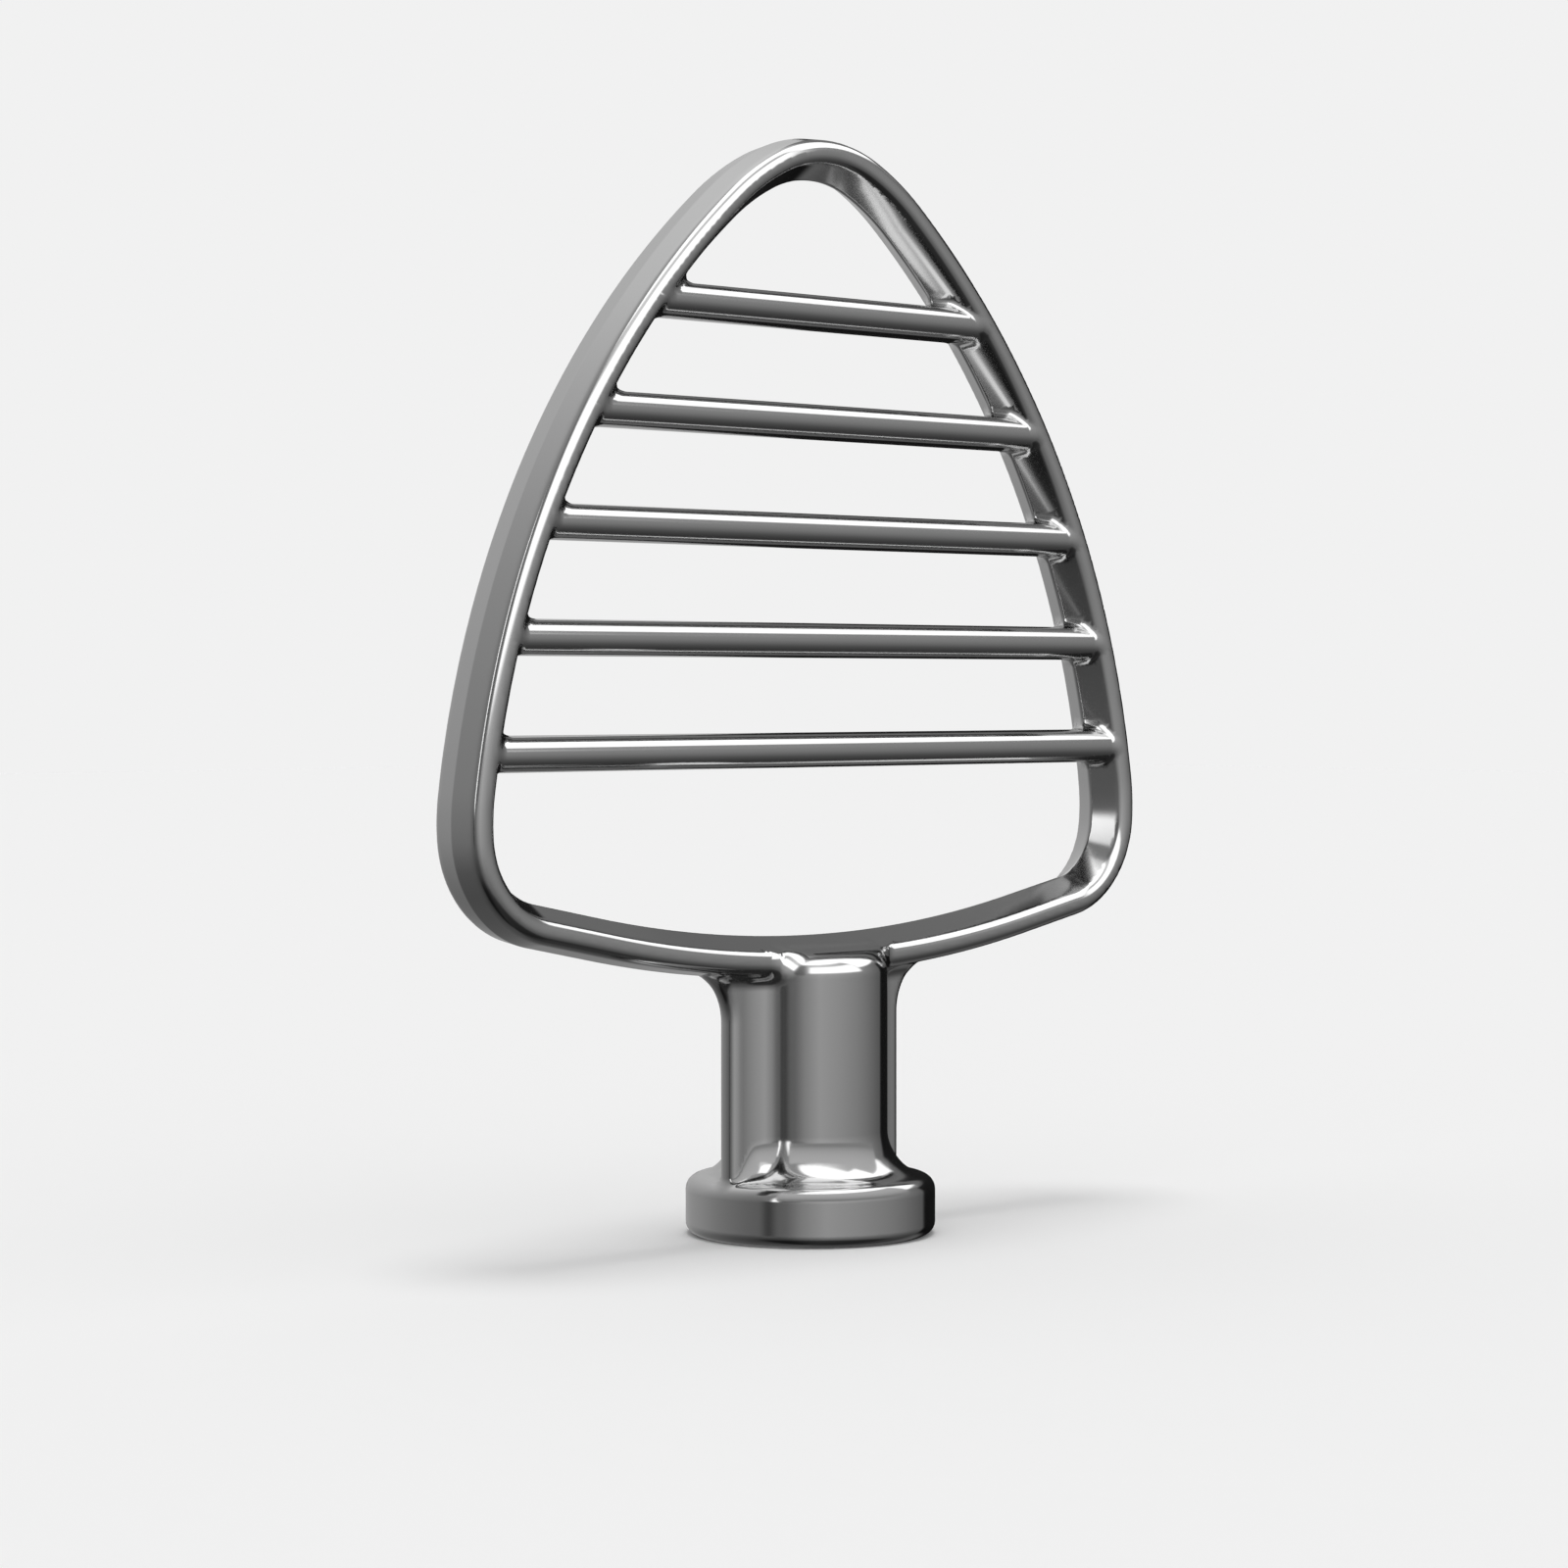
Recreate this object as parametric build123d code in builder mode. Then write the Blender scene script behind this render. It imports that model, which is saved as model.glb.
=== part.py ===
"""Stand mixer pastry beater: one stainless casting, standing on its collar with the tip of the hoop up."""
import os
from math import asin, cos, degrees, radians, sin, tan

from build123d import *

os.makedirs("parts", exist_ok=True)

# Sizes are in millimetres and angles in degrees.
overall_height = 175.7

# Hoop: outline on the middle plane, as tangent arcs from the tip down to the stem
tip_radius = 26.4
tip_turn = 25.0
shoulder_radius = 47.6
shoulder_turn = 14.7
side_radius = 149.2
side_turn = 42.6
hip_radius = 34.3
hip_turn = 22.6
corner_radius = 13.1
saddle_radius = 240.0
saddle_slope = 11.3

# Hoop: section across the rail, drafted to a ridge on the middle plane
rail_depth = 10.7
rail_thickness = 6.8
outer_draft = 8.5
inner_draft = 28.0
nose_radius = 2.0
ridge_radius = 0.6

# Bars across the hoop
bar_count = 5
bar_pitch = 17.56
tip_to_first_bar = 27.9
bar_height = 5.6
bar_depth = 9.8
bar_nose_radius = 2.0
bar_fillet = 2.0

# Stem: column, collar and side fins
collar_diameter = 40.1
collar_height = 9.0
collar_top_slope = 13.0
collar_top_radius = 2.4
collar_bottom_radius = 2.8
column_diameter = 24.8
column_foot_radius = 7.4
column_head_radius = 3.4
column_head_drop = 2.7
fin_inset = 1.15
fin_thickness = 3.8
fin_rim_radius = 1.7
fin_flare_radius = 8.6
fin_flare_bed = 0.5
fin_root_radius = 5.8

# Shaft socket: blind bore with a slot for the shaft's cross pin
bore_diameter = 12.9
bore_depth = 38.0
bore_chamfer = 0.6
pin_slot_width = 5.2
pin_slot_reach = 11.2
pin_slot_top = 26.0
pin_turn = 34.0
pin_seat_drop = 1.6

# Half outline of the hoop, from the tip to the middle of the saddle
with BuildLine() as half_outline:
    tip = JernArc((0, overall_height), (1, 0), tip_radius, -tip_turn)
    shoulder = JernArc(tip @ 1, tip % 1, shoulder_radius, -shoulder_turn)
    side = JernArc(shoulder @ 1, shoulder % 1, side_radius, -side_turn)
    hip = JernArc(side @ 1, side % 1, hip_radius, -hip_turn)
    corner_turn = 180 - saddle_slope - tip_turn - shoulder_turn - side_turn - hip_turn
    corner = JernArc(hip @ 1, hip % 1, corner_radius, -corner_turn)
    straight = ((corner @ 1).X - saddle_radius * sin(radians(saddle_slope))) / cos(radians(saddle_slope))
    rail = Line(corner @ 1, corner @ 1 + (corner % 1) * straight)
    saddle = JernArc(rail @ 1, rail % 1, saddle_radius, -saddle_slope)
saddle_bottom = (saddle @ 1).Y
saddle_top = saddle_bottom + rail_thickness

# Hoop: the rail's section swept round one half, then mirrored
hoop_path = half_outline.line.moved(Plane.XZ.location)
with BuildPart() as hoop:
    with BuildSketch(Plane((0, 0, overall_height), x_dir=(0, 0, -1), z_dir=(1, 0, 0))) as rail_section:
        half_depth = rail_depth / 2
        nose_outer = half_depth * tan(radians(outer_draft))
        nose_inner = rail_thickness - half_depth * tan(radians(inner_draft))
        with BuildLine():
            Polyline(
                (0, 0),
                (nose_outer, half_depth),
                (nose_inner, half_depth),
                (rail_thickness, 0),
                (nose_inner, -half_depth),
                (nose_outer, -half_depth),
                close=True,
            )
        make_face()
        by_depth = rail_section.vertices().group_by(Axis.Y)
        fillet(by_depth[0] + by_depth[-1], nose_radius)
        fillet(rail_section.vertices().sort_by(Axis.X)[-1], ridge_radius)
    sweep(path=hoop_path)
    mirror(about=Plane.YZ)

# Bars: oval rods, crowned above and below with a round nose, cut to end inside the rails
with BuildPart() as bars:
    nose = min(bar_nose_radius, 0.9 * bar_height / 2)
    nose_rise = bar_height / 2 - nose
    crown_drop = ((bar_depth / 2 - nose) ** 2 - nose_rise**2) / (2 * nose_rise)
    crown_radius = crown_drop + bar_height / 2
    with BuildSketch(mode=Mode.PRIVATE) as bar_section:
        with Locations((0, -crown_drop)):
            Circle(crown_radius)
        with Locations((0, crown_drop)):
            Circle(crown_radius, mode=Mode.INTERSECT)
        fillet(bar_section.vertices(), nose)
    bars_middle = overall_height - tip_to_first_bar - (bar_count - 1) * bar_pitch / 2
    with BuildSketch(Plane.YZ):
        with Locations((0, bars_middle)):
            with GridLocations(0, bar_pitch, 1, bar_count):
                add(bar_section.sketch)
    extrude(amount=overall_height, both=True)
    with BuildSketch(Plane.XZ):
        with BuildLine():
            add(half_outline.line)
            mirror(half_outline.line, about=Plane.YZ)
        make_face()
        offset(amount=-rail_thickness / 2)
    extrude(amount=rail_depth, both=True, mode=Mode.INTERSECT)

# Frame: hoop and bars, with the bars' ends blended into the rails
with BuildPart() as frame:
    add(hoop.part)
    add(bars.part)
    fillet(frame.edges(Select.NEW), bar_fillet)

# Fins: a web with a round rim on each side of the column that flares into the underside of the saddle
with BuildPart() as fins:
    fin_edge = collar_diameter / 2 - fin_inset
    flare_reach = saddle_radius - fin_flare_bed + fin_flare_radius
    flare_slope = asin((fin_edge + fin_flare_radius) / flare_reach)
    flare_start = saddle_bottom + saddle_radius - flare_reach * cos(flare_slope)
    with BuildSketch(Plane.XZ):
        with BuildLine():
            foot = Line((0, collar_height / 2), (fin_edge, collar_height / 2))
            edge = Line(foot @ 1, (fin_edge, flare_start))
            flare = JernArc(edge @ 1, edge % 1, fin_flare_radius, degrees(flare_slope) - 90)
            fin_top = (flare @ 1).Y + fin_rim_radius
            Polyline(flare @ 1, ((flare @ 1).X, fin_top), (0, fin_top), foot @ 0)
        make_face()
        mirror(about=Plane.YZ)
    extrude(amount=fin_thickness / 2, both=True)
    rims = fins.faces().filter_by(Axis.X) + fins.faces().filter_by(GeomType.CYLINDER)
    fillet(rims.edges().filter_by(Axis.Y, reverse=True), fin_rim_radius)

# Stem: collar and column turned as one profile, with the fins blended into the column by hollow roots
with BuildPart() as stem:
    collar_radius = collar_diameter / 2
    column_radius = column_diameter / 2
    column_top = saddle_top - column_head_drop
    column_foot = collar_height + (collar_radius - column_radius) * tan(radians(collar_top_slope))
    # The foot's blend ends on the collar's ledge, and the fins' roots end on the flat sides of the fins
    ledge = (collar_radius - column_radius) / cos(radians(collar_top_slope))
    foot_room = ledge / tan(radians(90 - collar_top_slope) / 2) - collar_top_radius
    foot_radius = min(column_foot_radius, 0.995 * foot_room)
    flat_end = fin_edge - fin_rim_radius
    root_room = (flat_end**2 - column_radius**2 + fin_thickness**2 / 4) / (column_diameter - fin_thickness)
    root_radius = min(fin_root_radius, 0.9 * root_room, foot_radius)
    with BuildSketch(Plane.XZ):
        with BuildLine():
            turned = FilletPolyline(
                (0, 0),
                (collar_radius, 0),
                (collar_radius, collar_height),
                (column_radius, column_foot),
                (column_radius, column_top),
                (0, column_top),
                radius=[collar_bottom_radius, collar_top_radius, foot_radius, column_head_radius],
            )
            Line(turned @ 1, turned @ 0)
        make_face()
    revolve(axis=Axis.Z)
    add(fins.part)
    fin_sides = stem.faces().filter_by(Axis.Y)
    fin_roots = fin_sides.edges().filter_by(Axis.Z).filter_by_position(Axis.X, -column_radius, column_radius)
    fillet(fin_roots, root_radius)

# Socket: what is cut out of the stem for the shaft and its cross pin
with BuildPart() as socket:
    bore_radius = bore_diameter / 2
    slot_radius = pin_slot_width / 2
    pin_height = pin_slot_top - slot_radius
    with BuildSketch():
        Circle(bore_radius)
    extrude(amount=bore_depth)
    chamfer(socket.edges().group_by(Axis.Z)[-1], bore_chamfer)
    with BuildSketch():
        Circle(bore_radius + bore_chamfer)
    extrude(amount=bore_chamfer, taper=45)
    # Way in: a slot beside the bore, from the collar's face up to the turn
    with BuildSketch():
        with Locations((0, pin_slot_reach - slot_radius)):
            Circle(slot_radius)
        Rectangle(pin_slot_width, pin_slot_reach - slot_radius, align=(Align.CENTER, Align.MIN))
    extrude(amount=pin_height)
    # Turn: a window through the column's wall that the pin swings along
    with BuildSketch(Plane.YZ):
        with Locations((0, pin_height)):
            Rectangle(column_diameter, pin_slot_width, align=(Align.MIN, Align.CENTER))
    revolve(axis=Axis.Z, revolution_arc=pin_turn)
    # Round ends of the window: the pin's way in, and the lower seat that it drops into
    for turn, height in ((0, pin_height), (pin_turn, pin_height - pin_seat_drop)):
        outward = Vector(0, 1, 0).rotate(Axis.Z, turn)
        with BuildSketch(Plane((0, 0, height), z_dir=outward)):
            Circle(slot_radius)
        extrude(amount=column_diameter)

# Beater: the whole casting
with BuildPart() as beater:
    add(stem.part)
    add(socket.part, mode=Mode.SUBTRACT)
    add(frame.part)

beater.part.label = "pastry_beater"
export_step(beater.part, "parts/pastry_beater.step")
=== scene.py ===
from math import cos, pi, radians, sin, tan

import bpy
import numpy as np
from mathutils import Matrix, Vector


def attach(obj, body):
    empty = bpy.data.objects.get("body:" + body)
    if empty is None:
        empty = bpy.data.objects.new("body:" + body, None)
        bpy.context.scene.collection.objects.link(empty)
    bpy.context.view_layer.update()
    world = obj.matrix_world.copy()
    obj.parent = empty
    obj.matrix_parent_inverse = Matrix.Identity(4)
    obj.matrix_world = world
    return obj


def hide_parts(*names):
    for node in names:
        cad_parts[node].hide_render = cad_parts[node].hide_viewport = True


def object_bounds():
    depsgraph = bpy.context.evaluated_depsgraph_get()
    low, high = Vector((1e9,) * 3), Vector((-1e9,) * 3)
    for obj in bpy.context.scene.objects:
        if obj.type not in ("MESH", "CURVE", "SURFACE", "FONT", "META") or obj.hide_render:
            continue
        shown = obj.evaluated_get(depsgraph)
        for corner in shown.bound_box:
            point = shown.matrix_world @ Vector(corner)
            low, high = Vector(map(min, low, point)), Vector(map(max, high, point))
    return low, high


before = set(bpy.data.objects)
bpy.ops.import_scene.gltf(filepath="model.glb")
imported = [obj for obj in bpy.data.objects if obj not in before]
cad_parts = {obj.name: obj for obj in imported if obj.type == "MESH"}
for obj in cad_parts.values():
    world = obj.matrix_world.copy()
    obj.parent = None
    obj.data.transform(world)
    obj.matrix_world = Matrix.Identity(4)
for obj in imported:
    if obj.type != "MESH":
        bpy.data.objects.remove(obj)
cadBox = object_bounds()
print("frame loaded:", sorted(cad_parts))

mm = 0.001  # sizes are in millimetres, as on the drawing
tiny = 1e-9
far = 1e9


# Distance fields: each tells how far points lie outside a shape, in millimetres

def blendUnion(a, b, radius):
    # joins two shapes with a hollow round blend, as a fillet does
    u = np.maximum(radius - a, 0)
    v = np.maximum(radius - b, 0)
    return np.maximum(radius, np.minimum(a, b)) - np.hypot(u, v)


def roundCut(a, b, radius):
    # takes b out of a and rounds the rim of the hole
    u = np.maximum(radius + a, 0)
    v = np.maximum(radius - b, 0)
    return np.minimum(-radius, np.maximum(a, -b)) + np.hypot(u, v)


def roundEdge(u, v, radius):
    # two sides that meet in a round edge; u and v are measured from the middle of its arc
    return np.minimum(np.maximum(u, v), 0) + np.hypot(np.maximum(u, 0), np.maximum(v, 0)) - radius


def smoothStep(value, low, high):
    t = np.clip((value - low) / (high - low), 0, 1)
    return t * t * (3 - 2 * t)


def roundedSection(p, q, corners, radii):
    # a convex section given by its corners in order, some of them rounded
    best = -far
    for (p0, q0), (p1, q1) in zip(corners[:-1], corners[1:]):
        length = np.hypot(p1 - p0, q1 - q0)
        side = ((p - p0) * (q1 - q0) - (q - q0) * (p1 - p0)) / length
        best = np.maximum(best, -side)
    for i, radius in radii.items():
        before = np.subtract(corners[i], corners[i - 1])
        after = np.subtract(corners[i + 1], corners[i])
        before = before / np.hypot(*before)
        after = after / np.hypot(*after)
        half = 0.5 * np.arccos(np.clip(before @ after, -1, 1))
        inward = after - before
        inward = inward / np.hypot(*inward)
        centre = np.array(corners[i]) + inward * radius / np.cos(half)
        u, v = p - centre[0], q - centre[1]
        reach = np.hypot(u, v)
        outward = -(u * inward[0] + v * inward[1]) / np.maximum(reach, tiny)
        onArc = np.arccos(np.clip(outward, -1, 1)) < half
        best = np.where(onArc, reach - radius, best)
    return best


hoop = {
    "height": 175.7,            # table to tip
    "arcs": [                   # (radius, turn in degrees) from the tip down the side
        (26.4, 25.0),
        (47.6, 14.7),
        (149.2, 42.6),
        (34.3, 12.26),
    ],
    "cornerRadius": 18.0,
    "saddleRadius": 240.0,
    "saddleSlope": 11.3,        # degrees, where the saddle meets the straight rail
    "depth": 10.7,              # front nose to back nose
    "thickness": 6.8,           # outline to ridge
    "outerDraft": 8.5,
    "innerDraft": 28.0,
    "noseRadius": 2.0,
    "ridgeRadius": 0.9,
}


def hoopOutline():
    # arcs (centre, radius, heading range) from the tip to the lower corner, and where the corner ends
    arcs = []
    x, z, heading = 0.0, hoop["height"], 0.0
    turned = sum(turn for _, turn in hoop["arcs"])
    corner = (hoop["cornerRadius"], 180 - hoop["saddleSlope"] - turned)
    for radius, turn in hoop["arcs"] + [corner]:
        start = radians(heading)
        end = radians(heading + turn)
        cx = x - radius * sin(start)
        cz = z - radius * cos(start)
        arcs.append((cx, cz, radius, start, end))
        x = cx + radius * sin(end)
        z = cz + radius * cos(end)
        heading += turn
    return arcs, (x, z)


arcs, cornerEnd = hoopOutline()
saddleSlope = radians(hoop["saddleSlope"])
railRun = (cornerEnd[0] - hoop["saddleRadius"] * sin(saddleSlope)) / cos(saddleSlope)
saddleCentreZ = cornerEnd[1] - railRun * sin(saddleSlope) + hoop["saddleRadius"] * cos(saddleSlope)
saddleBottom = saddleCentreZ - hoop["saddleRadius"]


def outlineDepth(x, z):
    # how far inside the hoop's outline a point lies, measured across the rail
    ax = np.abs(x)
    best = np.full(np.broadcast(x, z).shape, far)
    depth = np.zeros_like(best)
    for cx, cz, radius, start, end in arcs:
        dx, dz = ax - cx, z - cz
        angle = np.arctan2(dx, dz)
        off = radius - np.hypot(dx, dz)
        inside = (angle >= start - tiny) & (angle <= end + tiny)
        nearer = inside & (np.abs(off) < best)
        depth = np.where(nearer, off, depth)
        best = np.where(nearer, np.abs(off), best)
    # straight rail between the corner and the saddle
    along = (cornerEnd[0] - ax) * cos(saddleSlope) + (cornerEnd[1] - z) * sin(saddleSlope)
    off = (z - cornerEnd[1]) * cos(saddleSlope) - (ax - cornerEnd[0]) * sin(saddleSlope)
    nearer = (along >= 0) & (along <= railRun) & (np.abs(off) < best)
    depth = np.where(nearer, off, depth)
    best = np.where(nearer, np.abs(off), best)
    # saddle
    dz = z - saddleCentreZ
    off = hoop["saddleRadius"] - np.hypot(ax, dz)
    nearer = (np.arctan2(ax, -dz) <= saddleSlope) & (dz < 0) & (np.abs(off) < best)
    return np.where(nearer, off, depth)


def hoopField(x, y, z):
    half = hoop["depth"] / 2
    noseOuter = half * tan(radians(hoop["outerDraft"]))
    noseInner = hoop["thickness"] - half * tan(radians(hoop["innerDraft"]))
    corners = [
        (noseOuter, -half),
        (0, 0),
        (noseOuter, half),
        (noseInner, half),
        (hoop["thickness"], 0),
        (noseInner, -half),
        (noseOuter, -half),
        (0, 0),
    ]
    nose = hoop["noseRadius"]
    radii = {2: nose, 3: nose, 4: hoop["ridgeRadius"], 5: nose, 6: nose}
    return roundedSection(outlineDepth(x, z), y, corners, radii)


bars = {
    "count": 5,
    "pitch": 17.56,
    "tipToFirst": 27.9,
    "height": 5.6,
    "depth": 9.8,
    "noseRadius": 2.6,
    "blend": 2.0,               # fillet where a bar meets the rail, on top of the bar
    "underBlend": 0.55,         # share of it under the bar
    "underFade": 1.0,           # above and below the bar's middle, where one goes over into the other
    "noseBlend": 0.7,           # fillet at the rail's noses
    "noseFade": (2.6, 4.8),     # off the middle plane, where the fillet shrinks to that
}


def overBar(z):
    # how far above the middle of the nearest bar a point lies
    first = hoop["height"] - bars["tipToFirst"]
    step = np.clip(np.round((first - z) / bars["pitch"]), 0, bars["count"] - 1)
    return z - first + step * bars["pitch"]


def barField(x, y, z):
    # oval rods, crowned above and below with a round nose, that end inside the rails
    nose = bars["noseRadius"]
    rise = bars["height"] / 2 - nose
    noseAt = bars["depth"] / 2 - nose
    drop = (noseAt ** 2 - rise ** 2) / (2 * rise)
    crown = drop + bars["height"] / 2
    up = np.abs(overBar(z))
    out = np.abs(y)
    onNose = out * drop > noseAt * (up + drop)
    section = np.where(onNose, np.hypot(out - noseAt, up) - nose, np.hypot(out, up + drop) - crown)
    return np.maximum(section, hoop["thickness"] / 2 - outlineDepth(x, z))


def barBlend(y, z):
    above = smoothStep(overBar(z), -bars["underFade"], bars["underFade"])
    full = bars["blend"] * (bars["underBlend"] + (1 - bars["underBlend"]) * above)
    return full + (bars["noseBlend"] - full) * smoothStep(np.abs(y), *bars["noseFade"])


stem = {
    "collarDiameter": 40.1,
    "collarHeight": 9.0,        # at the outer edge
    "collarTopSlope": 13.0,
    "collarTopRadius": 2.4,
    "collarBottomRadius": 2.0,
    "columnDiameter": 24.8,
    "columnFoot": 5.6,          # blend onto the collar; over finRoot, the valleys beside the fins crease
    "columnHeadRadius": 3.4,
    "columnHeadDrop": 2.7,      # below the saddle's ridge
    "finInset": 1.15,           # from the collar's side
    "finThickness": 3.8,
    "finRimRadius": 1.8,
    "finFlare": 8.6,
    "finFlareBed": 0.5,         # how deep the flare's end lies in the saddle
    "finFlareEnd": 1.0,         # how far the fin goes on past its flare, inside the saddle
    "finRoot": 5.8,             # hollow between column and fin
    "finFoot": 1.0,             # blend onto the collar at the fin's rim
    "finFootFade": (4.5, 0.3),  # in from the rim, where the column's blend shrinks to the fin's
    "railBlend": 2.2,           # where column and fins meet the saddle
    "railBlendFade": (20.0, 25.0),  # off the axis, where the flare runs in at a slant and needs no blend
    "railBlendLeast": 0.05,     # share of it that is left there
}


def finField(ax, ay, z):
    # a flat web with a round rim, flared at its head
    edge = stem["collarDiameter"] / 2 - stem["finInset"]
    flare = stem["finFlare"]
    reach = hoop["saddleRadius"] - stem["finFlareBed"] + flare
    flareX = edge + flare
    flareZ = saddleCentreZ - (reach ** 2 - flareX ** 2) ** 0.5
    head = np.where(ax < flareX, flare - np.hypot(ax - flareX, z - flareZ), flare - z + flareZ)
    head = np.maximum(head, ax - flareX - stem["finFlareEnd"])
    web = np.where(z > flareZ, head, ax - edge)
    web = np.maximum(web, z - saddleBottom - hoop["thickness"] / 2)
    web = np.maximum(web, stem["collarHeight"] - stem["collarTopRadius"] - z)
    rim = stem["finRimRadius"]
    return roundEdge(web + rim, ay - stem["finThickness"] / 2 + rim, rim)


def stemField(x, y, z):
    radius = np.hypot(x, y)
    ax, ay = np.abs(x), np.abs(y)
    side = stem["collarDiameter"] / 2
    height = stem["collarHeight"]
    crown = height + side * tan(radians(stem["collarTopSlope"]))
    section = [(0, crown), (side, height), (side, 0), (0, 0)]
    rounds = {1: stem["collarTopRadius"], 2: stem["collarBottomRadius"]}
    collar = roundedSection(radius, z, section, rounds)
    top = saddleBottom + hoop["thickness"] - stem["columnHeadDrop"]
    middle, half = (top + height) / 2, (top - height) / 2
    columnRadius = stem["columnDiameter"] / 2
    headRadius = stem["columnHeadRadius"]
    column = roundEdge(radius - columnRadius + headRadius, np.abs(z - middle) - half + headRadius, headRadius)
    pillar = np.minimum(column, finField(ax, ay, z))
    # roots: a hollow fillet rolled between the column and the web
    root = stem["finRoot"]
    rootY = stem["finThickness"] / 2 + root
    rootX = ((columnRadius + root) ** 2 - rootY ** 2) ** 0.5
    inRoot = (ax < rootX) & ((rootY - ay) * rootX > rootY * (rootX - ax))
    hollow = np.maximum(root - np.hypot(ax - rootX, ay - rootY), z - saddleBottom - hoop["thickness"] / 2)
    pillar = np.where(inRoot, np.minimum(pillar, np.maximum(hollow, height - z)), pillar)
    edge = side - stem["finInset"]
    fadeIn, fadeOut = stem["finFootFade"]
    nearRim = smoothStep(ax, edge - fadeIn, edge - fadeOut)
    foot = stem["columnFoot"] + (stem["finFoot"] - stem["columnFoot"]) * nearRim
    return blendUnion(collar, pillar, foot)


def railBlend(x):
    upright = 1 - smoothStep(np.abs(x), *stem["railBlendFade"])
    return stem["railBlend"] * np.maximum(upright, stem["railBlendLeast"])


socket = {
    "boreDiameter": 12.9,
    "boreDepth": 38.0,
    "slotWidth": 5.2,
    "slotReach": 11.2,          # from the axis
    "slotTop": 26.0,
    "pinTurn": 34.0,            # degrees
    "seatDrop": 1.6,
    "edge": 0.35,               # rounding of all the edges
}


def socketField(x, y, z):
    # blind bore, with a slot for the shaft's cross pin that turns into a seat
    radius = np.hypot(x, y)
    bore = np.maximum(radius - socket["boreDiameter"] / 2, z - socket["boreDepth"])
    half = socket["slotWidth"] / 2
    pinZ = socket["slotTop"] - half
    roundEnd = socket["slotReach"] - half
    wayIn = np.maximum(np.abs(x) - half, np.maximum(-y, y - roundEnd))
    wayIn = np.where(y > roundEnd, np.hypot(x, y - roundEnd) - half, wayIn)
    wayIn = np.maximum(wayIn, z - pinZ)
    turn = radians(socket["pinTurn"])
    swing = np.arctan2(-x, y)
    window = np.maximum(np.abs(z - pinZ) - half, radius * np.maximum(-swing, swing - turn))
    pinStart = np.maximum(np.hypot(x, z - pinZ) - half, -y)
    seatX = x * cos(turn) + y * sin(turn)
    seatY = y * cos(turn) - x * sin(turn)
    seat = np.maximum(np.hypot(seatX, z - pinZ + socket["seatDrop"]) - half, -seatY)
    return np.minimum.reduce([bore, wayIn, window, pinStart, seat])


def castingField(x, y, z):
    rails = blendUnion(hoopField(x, y, z), barField(x, y, z), barBlend(y, z))
    whole = blendUnion(rails, stemField(x, y, z), railBlend(x))
    return roundCut(whole, socketField(x, y, z), socket["edge"])


# Mesh: each grid cell that the surface passes through gets one vertex, pulled onto the surface

grid = {
    "fine": 0.64,      # across the stem
    "plain": 1.1,      # across the hoop
    "bars": 0.52,      # up each bar
    "deep": 0.62,      # through the hoop's depth
    "ridge": 0.33,     # at the rail's ridge
    "stemWidth": 24.0,
    "stemTop": 52.0,
    "barReach": 3.3,   # above and below a bar's middle
    "hoopReach": 6.5,  # off the middle plane
    "ridgeReach": 1.0,
    "margin": 1.5,     # round the whole casting
    "steps": 4,        # onto the surface
    "rounds": 3,       # of evening out
    "probe": 0.02,     # for the field's slope
    "leastSlope": 0.05,
}


def spacedAxis(low, high, breaks):
    # grid lines from low to high; breaks are (end, spacing) in order
    lines = [low]
    for end, spacing in breaks:
        count = max(1, int(round((min(end, high) - lines[-1]) / spacing)))
        lines += list(np.linspace(lines[-1], min(end, high), count + 1)[1:])
    return np.array(lines)


def gridLines():
    low, high = (np.array(corner) / mm for corner in cadBox)
    low, high = low - grid["margin"], high + grid["margin"]
    fine, plain, deep, ridge = (grid[name] for name in ("fine", "plain", "deep", "ridge"))
    width, reach, ridgeReach = grid["stemWidth"], grid["hoopReach"], grid["ridgeReach"]
    xs = spacedAxis(low[0], high[0], [(-width, plain), (width, fine), (high[0], plain)])
    breaks = [(-reach, fine), (-ridgeReach, deep), (ridgeReach, ridge), (reach, deep), (high[1], fine)]
    ys = spacedAxis(low[1], high[1], breaks)
    breaks = [(grid["stemTop"], fine)]
    for i in range(bars["count"]):
        middle = hoop["height"] - bars["tipToFirst"] - (bars["count"] - 1 - i) * bars["pitch"]
        breaks += [(middle - grid["barReach"], plain), (middle + grid["barReach"], grid["bars"])]
    zs = spacedAxis(low[2], high[2], breaks + [(high[2], plain)])
    return xs, ys, zs


def fieldGradient(points):
    gradient = np.empty_like(points)
    for axis in range(3):
        shift = np.zeros(3)
        shift[axis] = grid["probe"]
        ahead = castingField(*(points + shift).T)
        behind = castingField(*(points - shift).T)
        gradient[:, axis] = (ahead - behind) / (2 * grid["probe"])
    return gradient


def ontoSurface(points):
    # one step down the field's slope
    gradient = fieldGradient(points)
    slope = np.maximum((gradient ** 2).sum(1), grid["leastSlope"])
    return points - gradient * (castingField(*points.T) / slope)[:, None]


def evenOut(points, faces):
    # each vertex goes to the middle of its neighbours, then back onto the surface
    sides = np.concatenate([faces[:, [i, (i + 1) % 4]] for i in range(4)])
    start, end = np.concatenate([sides, sides[:, ::-1]]).T
    count = np.maximum(np.bincount(start, minlength=len(points)), 1)
    for _ in range(grid["rounds"]):
        sums = [np.bincount(start, points[end, axis], minlength=len(points)) for axis in range(3)]
        points = ontoSurface(ontoSurface(np.stack(sums, 1) / count[:, None]))
    return ontoSurface(points)


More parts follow.
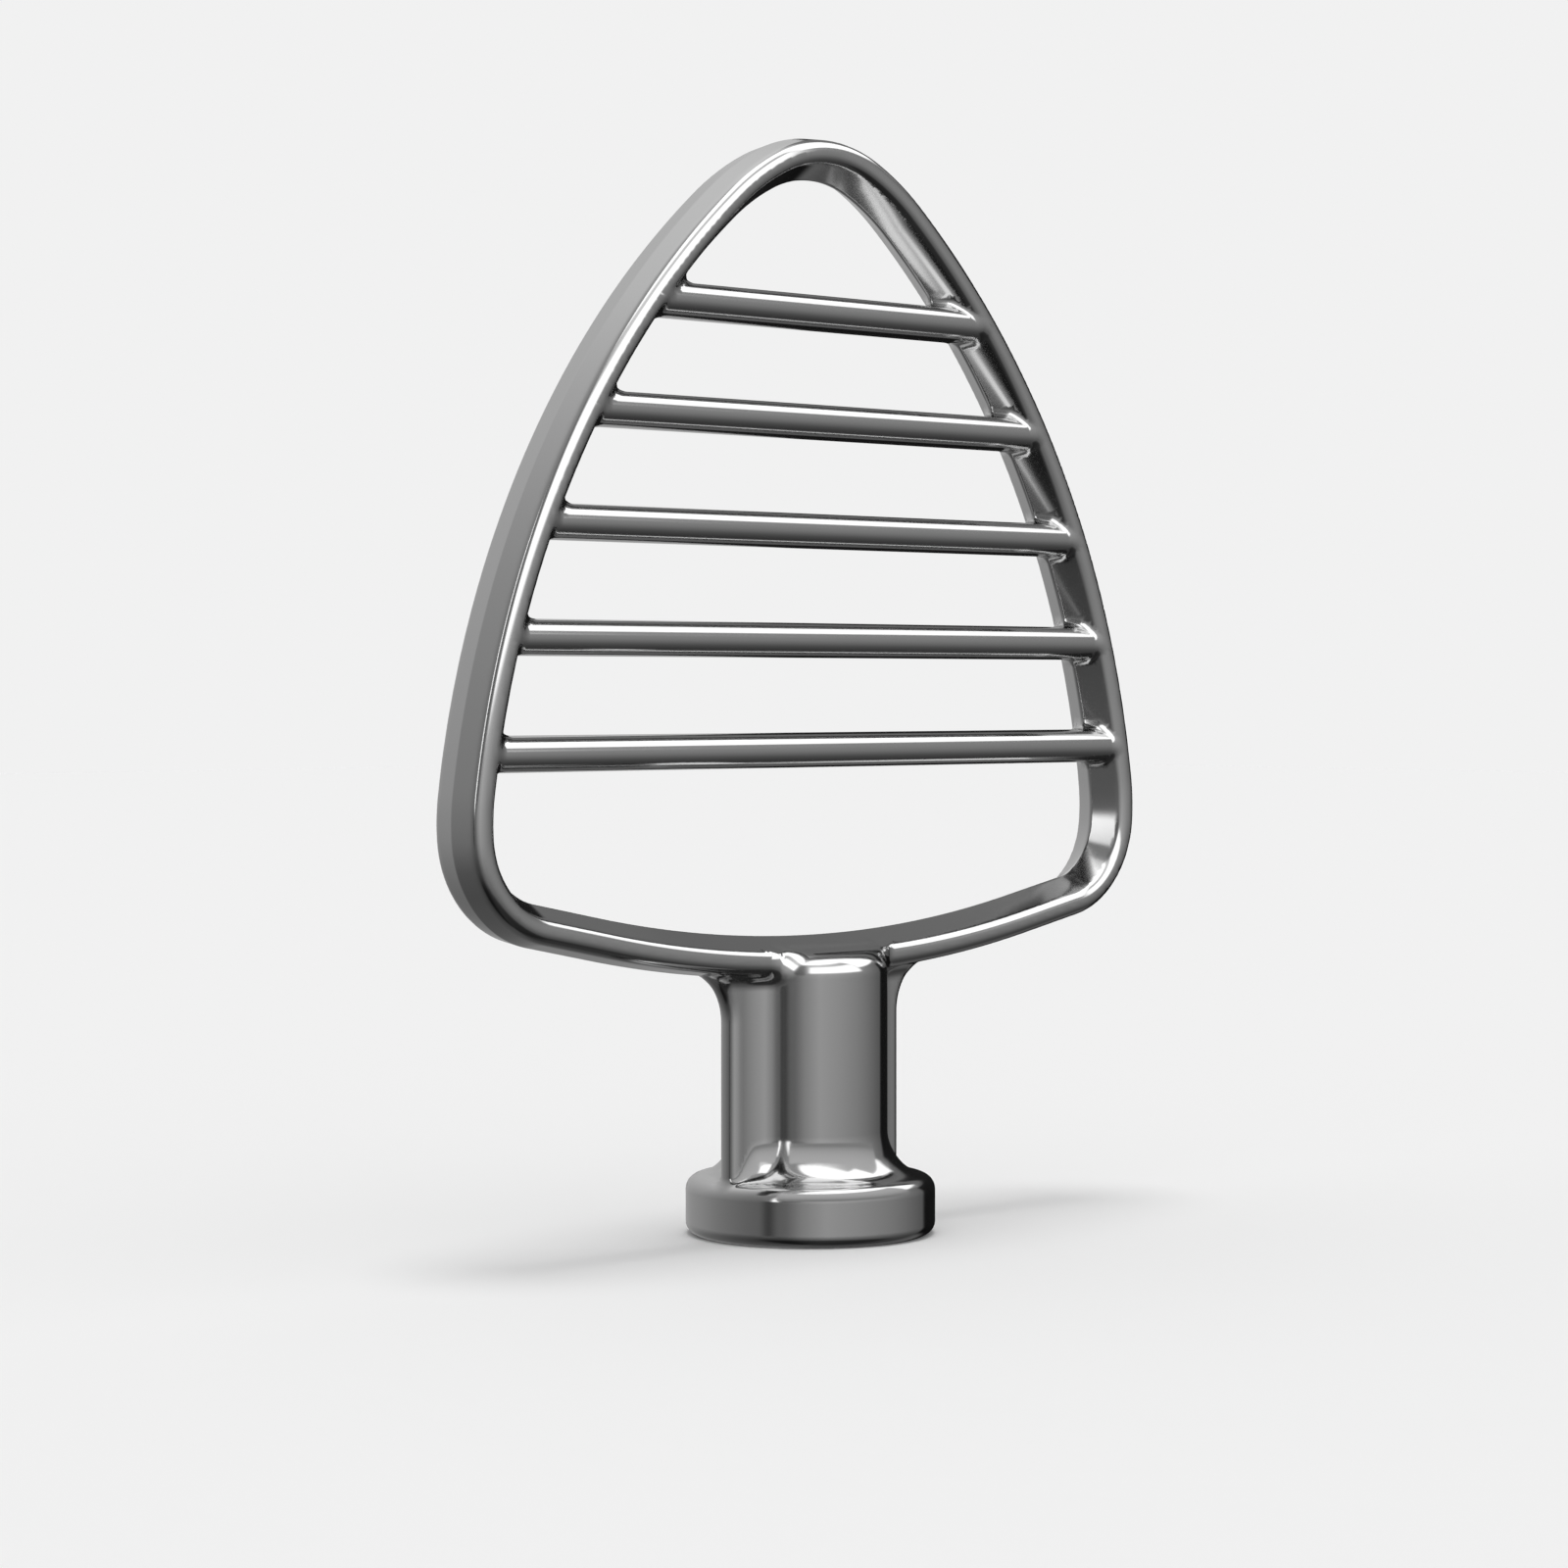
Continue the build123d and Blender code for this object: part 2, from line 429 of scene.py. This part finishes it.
def crossedCells(inside):
    # cells with corners both in and out of the casting
    counts = np.zeros(tuple(n - 1 for n in inside.shape), int)
    for corner in np.ndindex(2, 2, 2):
        counts += inside[tuple(slice(c, n - 1 + c) for c, n in zip(corner, inside.shape))]
    return (counts > 0) & (counts < 8)


def quadsRound(inside, index):
    # one quad round every grid edge that crosses the surface
    faces = []
    for axis in range(3):
        b, c = (axis + 1) % 3, (axis + 2) % 3
        first = [slice(None)] * 3
        second = [slice(None)] * 3
        first[axis], second[axis] = slice(0, -1), slice(1, None)
        edges = np.argwhere(inside[tuple(first)] != inside[tuple(second)])
        edges = edges[(edges[:, b] > 0) & (edges[:, c] > 0)]
        corners = []
        for db, dc in ((-1, -1), (0, -1), (0, 0), (-1, 0)):
            cell = edges.copy()
            cell[:, b] += db
            cell[:, c] += dc
            corners.append(index[tuple(cell.T)])
        quads = np.stack(corners, 1)
        flip = ~inside[tuple(first)][tuple(edges.T)]
        quads[flip] = quads[flip][:, ::-1]
        faces.append(quads)
    return np.concatenate(faces)


def castingSurface():
    lines = gridLines()
    xs, ys, zs = lines
    slices = [castingField(np.full((1, 1), x), ys[:, None], zs[None, :]) for x in xs]
    inside = np.array(slices, np.float32) < 0
    crossed = crossedCells(inside)
    cells = np.argwhere(crossed)
    index = np.full(crossed.shape, -1)
    index[tuple(cells.T)] = np.arange(len(cells))
    lowest = np.stack([lines[axis][cells[:, axis]] for axis in range(3)], 1)
    highest = np.stack([lines[axis][cells[:, axis] + 1] for axis in range(3)], 1)
    points = (lowest + highest) / 2
    for _ in range(grid["steps"]):  # staying in the cell
        points = np.clip(ontoSurface(points), lowest, highest)
    faces = quadsRound(inside, index)
    points = evenOut(points, faces)
    normals = fieldGradient(points)
    normals /= np.maximum(np.linalg.norm(normals, axis=1), tiny)[:, None]
    return points * mm, faces, normals


def addObject(name, data):
    thing = bpy.data.objects.new(name, data)
    bpy.context.scene.collection.objects.link(thing)
    return thing


points, faces, normals = castingSurface()
castingMesh = bpy.data.meshes.new("beaterCasting")
castingMesh.from_pydata(points.tolist(), [], faces.tolist())
castingMesh.shade_smooth()
castingMesh.normals_split_custom_set_from_vertices(normals.tolist())
casting = addObject("beaterCasting", castingMesh)
print("casting made:", len(points), "vertices,", len(faces), "quads")


# Materials

def newNodes(tree):
    tree.nodes.clear()
    return tree.nodes, tree.links


def newMaterial(name):
    material = bpy.data.materials.new(name)
    material.use_nodes = True
    nodes, links = newNodes(material.node_tree)
    return material, nodes, links, nodes.new("ShaderNodeOutputMaterial")


def mathNode(tree, operation, *values):
    node = tree.nodes.new("ShaderNodeMath")
    node.operation = operation
    for entry, value in zip(node.inputs, values):
        if isinstance(value, (int, float)):
            entry.default_value = value
        else:
            tree.links.new(value, entry)
    return node.outputs[0]


steel = {
    "color": (0.60, 0.60, 0.60, 1),
    "roughness": 0.12,
    "roughnessSpread": 0.04,
    "smearScale": 60,
    "smearDetail": 4,
    "grainScale": 2600,
    "grainDetail": 2,
    "grainHeight": 0.000002,    # metres
    "grainStrength": 0.2,
}


def makePolishMarks():
    # faint smears in the gloss and a very fine grain left by polishing
    group = bpy.data.node_groups.new("polishMarks", "ShaderNodeTree")
    interface = group.interface
    for name, value in (("Roughness", steel["roughness"]), ("Spread", steel["roughnessSpread"])):
        interface.new_socket(name, in_out="INPUT", socket_type="NodeSocketFloat").default_value = value
    for name in ("Roughness", "Grain"):
        interface.new_socket(name, in_out="OUTPUT", socket_type="NodeSocketFloat")
    nodes, links = newNodes(group)
    entry = nodes.new("NodeGroupInput")
    leave = nodes.new("NodeGroupOutput")
    where = nodes.new("ShaderNodeTexCoord")
    noises = {}
    for name in ("smear", "grain"):
        noises[name] = nodes.new("ShaderNodeTexNoise")
        noises[name].inputs["Scale"].default_value = steel[name + "Scale"]
        noises[name].inputs["Detail"].default_value = steel[name + "Detail"]
        links.new(where.outputs["Object"], noises[name].inputs["Vector"])
    centred = mathNode(group, "SUBTRACT", noises["smear"].outputs["Fac"], 0.5)
    spread = mathNode(group, "MULTIPLY", centred, entry.outputs["Spread"])
    links.new(mathNode(group, "ADD", spread, entry.outputs["Roughness"]), leave.inputs["Roughness"])
    links.new(noises["grain"].outputs["Fac"], leave.inputs["Grain"])
    return group


def makeSteel():
    material, nodes, links, output = newMaterial("polishedSteel")
    shader = nodes.new("ShaderNodeBsdfPrincipled")
    shader.inputs["Base Color"].default_value = steel["color"]
    shader.inputs["Metallic"].default_value = 1
    marks = nodes.new("ShaderNodeGroup")
    marks.node_tree = makePolishMarks()
    marks.inputs["Roughness"].default_value = steel["roughness"]
    marks.inputs["Spread"].default_value = steel["roughnessSpread"]
    bump = nodes.new("ShaderNodeBump")
    bump.inputs["Strength"].default_value = steel["grainStrength"]
    bump.inputs["Distance"].default_value = steel["grainHeight"]
    links.new(marks.outputs["Roughness"], shader.inputs["Roughness"])
    links.new(marks.outputs["Grain"], bump.inputs["Height"])
    links.new(bump.outputs["Normal"], shader.inputs["Normal"])
    links.new(shader.outputs["BSDF"], output.inputs["Surface"])
    return material


castingMesh.materials.append(makeSteel())
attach(casting, "root")
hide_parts("pastry_beater")
print("steel finish made")


# Studio: directions are taken from the object, turned so that the camera lies ahead

view = {
    "turn": 44.0,            # camera's azimuth off the hoop's face, degrees
    "focal": 91.1,
    "sensor": 36.0,
    "distance": 638.0,       # from the stem's axis
    "aside": 4.24,           # camera left of the stem's axis
    "height": 87.5,
    "shift": -0.06125,       # of the lens, in frame widths
}

studio = {
    "backdrop": 0.88,        # what the camera sees behind the object
    "floorLight": 0.6,       # even light on the floor
    "overhead": 0.4,         # light from straight above, which draws the object's shadow
    "overheadSpread": 24.0,  # degrees
    "around": [              # (azimuth from the camera in degrees, level at the horizon), left is negative
        (-180, 0.45),
        (-150, 0.42),
        (-120, 0.38),
        (-88, 0.27),
        (-62, 0.20),
        (-44, 0.17),
        (-30, 0.17),
        (-22, 0.19),
        (-8, 0.34),
        (14, 0.48),
        (44, 0.41),
        (82, 0.30),
        (108, 0.20),
        (122, 0.15),
        (140, 0.30),
        (180, 0.38),
    ],
    "upward": [              # (elevation in degrees, share of the level at the horizon)
        (-90, 0.22),
        (-60, 0.24),
        (-45, 0.32),
        (-30, 0.46),
        (-15, 0.78),
        (-4, 1.0),
        (15, 1.25),
        (30, 1.45),
        (60, 2.1),
        (90, 2.2),
    ],
    "panels": {              # lit panels in degrees: left, right, bottom, top, side and end edges; then level
        "front": (-3, 86, 15, 51, 5, 6, 1.9),
        "top": (-27, 146, 62, 120, 4, 4, 1.9),
        "right": (86, 146, 31, 120, 3, 3, 1.9),
        "sideStrip": (-36, -30, 4, 42, 1.5, 4, 2.0),
    },
    "flags": {               # black cards, written the same way; the level is the share that is left
        "right": (127, 240, -28, 24, 4, 5, 0.03),
        "left": (-28, -8, 6, 58, 3, 4, 0.55),
        "stripe": (-44, -34, -12, 4, 5, 4, 0.4),
        "back": (138, 215, 24, 58, 4, 6, 0.36),
        "low": (-60, 100, -130, -42, 10, 8, 0.3),
    },
}


def makeRamp(tree, value, steps, low, high):
    # grey levels over a range of degrees
    ramp = tree.nodes.new("ShaderNodeValToRGB")
    share = mathNode(tree, "MULTIPLY_ADD", value, 1 / (high - low), -low / (high - low))
    tree.links.new(share, ramp.inputs["Fac"])
    stops = ramp.color_ramp.elements
    for stop, (_, level) in zip(stops, (steps[0], steps[-1])):
        stop.color = (level, level, level, 1)
    for angle, level in steps[1:-1]:
        stops.new((angle - low) / (high - low)).color = (level, level, level, 1)
    return ramp.outputs["Color"]


def makeWindow(tree, value, low, high, edge):
    # 1 between low and high, 0 outside, with a soft edge
    fromMiddle = mathNode(tree, "ABSOLUTE", mathNode(tree, "SUBTRACT", value, (low + high) / 2))
    window = tree.nodes.new("ShaderNodeMapRange")
    window.interpolation_type = "SMOOTHSTEP"
    window.inputs["From Min"].default_value = (high - low) / 2 + edge
    window.inputs["From Max"].default_value = (high - low) / 2 - edge
    tree.links.new(fromMiddle, window.inputs["Value"])
    return window.outputs["Result"]


def makeCard(tree, azimuth, elevation, left, right, bottom, top, sideEdge, endEdge):
    across = makeWindow(tree, azimuth, left, right, sideEdge)
    upright = makeWindow(tree, elevation, bottom, top, endEdge)
    return mathNode(tree, "MULTIPLY", across, upright)


def makeSurroundings(tree):
    # the level of grey in each direction, as the polished metal sees it
    nodes, links = tree.nodes, tree.links
    where = nodes.new("ShaderNodeTexCoord")
    turned = nodes.new("ShaderNodeMapping")
    turned.inputs["Rotation"].default_value = (0, 0, radians(view["turn"]))
    links.new(where.outputs["Generated"], turned.inputs["Vector"])
    split = nodes.new("ShaderNodeSeparateXYZ")
    links.new(turned.outputs["Vector"], split.inputs["Vector"])
    right, ahead, up = split.outputs
    toCamera = mathNode(tree, "MULTIPLY", ahead, -1.0)
    azimuth = mathNode(tree, "DEGREES", mathNode(tree, "ARCTAN2", right, toCamera))
    elevation = mathNode(tree, "DEGREES", mathNode(tree, "ARCSINE", up))
    around = makeRamp(tree, azimuth, studio["around"], -180, 180)
    upward = makeRamp(tree, elevation, studio["upward"], -90, 90)
    seen = mathNode(tree, "MULTIPLY", around, upward)
    for *sides, level in studio["flags"].values():
        card = makeCard(tree, azimuth, elevation, *sides)
        seen = mathNode(tree, "MULTIPLY", seen, mathNode(tree, "MULTIPLY_ADD", card, level - 1, 1.0))
    for *sides, level in studio["panels"].values():
        card = makeCard(tree, azimuth, elevation, *sides)
        seen = mathNode(tree, "MAXIMUM", seen, mathNode(tree, "MULTIPLY", card, level))
    return seen


def makeWorld():
    # the camera sees a plain pale backdrop, polished metal sees the studio, and the floor gets even light
    world = bpy.data.worlds.new("studio")
    bpy.context.scene.world = world
    world.use_nodes = True
    nodes, links = newNodes(world.node_tree)
    output = nodes.new("ShaderNodeOutputWorld")
    path = nodes.new("ShaderNodeLightPath")
    level = nodes.new("ShaderNodeMix")
    level.inputs["A"].default_value = studio["floorLight"]
    links.new(path.outputs["Is Glossy Ray"], level.inputs["Factor"])
    links.new(makeSurroundings(world.node_tree), level.inputs["B"])
    final = nodes.new("ShaderNodeMix")
    links.new(path.outputs["Is Camera Ray"], final.inputs["Factor"])
    links.new(level.outputs["Result"], final.inputs["A"])
    final.inputs["B"].default_value = studio["backdrop"]
    background = nodes.new("ShaderNodeBackground")
    background.inputs["Color"].default_value = (1, 1, 1, 1)
    links.new(final.outputs["Result"], background.inputs["Strength"])
    links.new(background.outputs["Background"], output.inputs["Surface"])


makeWorld()

floor = {
    "size": 6.0,             # metres
    "color": (0.88, 0.88, 0.88, 1),
}


def makeFloor():
    half = floor["size"] / 2
    mesh = bpy.data.meshes.new("floor")
    corners = [(-half, -half, 0), (half, -half, 0), (half, half, 0), (-half, half, 0)]
    mesh.from_pydata(corners, [], [(0, 1, 2, 3)])
    sheet = addObject("floor", mesh)
    sheet.visible_glossy = False
    material, nodes, links, output = newMaterial("paleFloor")
    shader = nodes.new("ShaderNodeBsdfDiffuse")
    shader.inputs["Color"].default_value = floor["color"]
    links.new(shader.outputs["BSDF"], output.inputs["Surface"])
    mesh.materials.append(material)


makeFloor()

flagCard = {
    "height": 41.5,          # lies level in front of the stem, below the hoop
    "inner": 31.0,           # from the stem's axis
    "outer": 190.0,
    "sides": (-30.0, 100.0),  # degrees from the camera's direction
    "steps": 27,             # along its round edges
    "levels": (0.75, 0.31),  # as far from the origin as inner, and as fade
    "fade": 110.0,           # beyond it the level stays
}


def makeGreyCard():
    # glows from below and is clear from above
    material, nodes, links, output = newMaterial("greyCard")
    where = nodes.new("ShaderNodeTexCoord")
    reach = nodes.new("ShaderNodeVectorMath")
    reach.operation = "LENGTH"
    links.new(where.outputs["Object"], reach.inputs[0])
    level = nodes.new("ShaderNodeMapRange")
    level.inputs["From Min"].default_value = flagCard["inner"] * mm
    level.inputs["From Max"].default_value = flagCard["fade"] * mm
    level.inputs["To Min"].default_value = flagCard["levels"][0]
    level.inputs["To Max"].default_value = flagCard["levels"][1]
    links.new(reach.outputs["Value"], level.inputs["Value"])
    grey = nodes.new("ShaderNodeEmission")
    links.new(level.outputs["Result"], grey.inputs["Strength"])
    clear = nodes.new("ShaderNodeBsdfTransparent")
    side = nodes.new("ShaderNodeNewGeometry")
    share = nodes.new("ShaderNodeMixShader")
    links.new(side.outputs["Backfacing"], share.inputs["Fac"])
    links.new(grey.outputs["Emission"], share.inputs[1])
    links.new(clear.outputs["BSDF"], share.inputs[2])
    links.new(share.outputs["Shader"], output.inputs["Surface"])
    return material


def makeFlagCard():
    # a grey card that only polished metal below it sees: it holds the panels off the stem's foot
    corners, faces = [], []
    low, high = flagCard["sides"]
    steps = flagCard["steps"]
    for i in range(steps):
        angle = radians(low + (high - low) * i / (steps - 1)) - radians(view["turn"]) - pi / 2
        for reach in (flagCard["inner"], flagCard["outer"]):
            corners.append((reach * mm * cos(angle), reach * mm * sin(angle), flagCard["height"] * mm))
        if i:
            faces.append((2 * i - 2, 2 * i, 2 * i + 1, 2 * i - 1))
    mesh = bpy.data.meshes.new("flagCard")
    mesh.from_pydata(corners, [], faces)
    mesh.materials.append(makeGreyCard())
    card = addObject("flagCard", mesh)
    for seenBy in ("camera", "diffuse", "shadow", "transmission", "volume_scatter"):
        setattr(card, "visible_" + seenBy, False)


makeFlagCard()


def makeOverhead():
    data = bpy.data.lights.new("overhead", "SUN")
    data.energy = studio["overhead"] * pi
    data.angle = radians(studio["overheadSpread"])
    addObject("overhead", data).visible_glossy = False


makeOverhead()
print("studio made")


def makeCamera():
    turn = radians(view["turn"])
    ahead = Vector((sin(turn), cos(turn), 0))
    right = Vector((cos(turn), -sin(turn), 0))
    data = bpy.data.cameras.new("camera")
    data.lens = view["focal"]
    data.sensor_width = view["sensor"]
    data.shift_y = view["shift"]
    camera = addObject("camera", data)
    place = -ahead * view["distance"] - right * view["aside"] + Vector((0, 0, view["height"]))
    camera.location = place * mm
    camera.rotation_euler = (pi / 2, 0, -turn)
    bpy.context.scene.camera = camera


makeCamera()
bpy.context.scene.view_settings.view_transform = "Standard"

bpy.context.view_layer.update()
print("camera set")
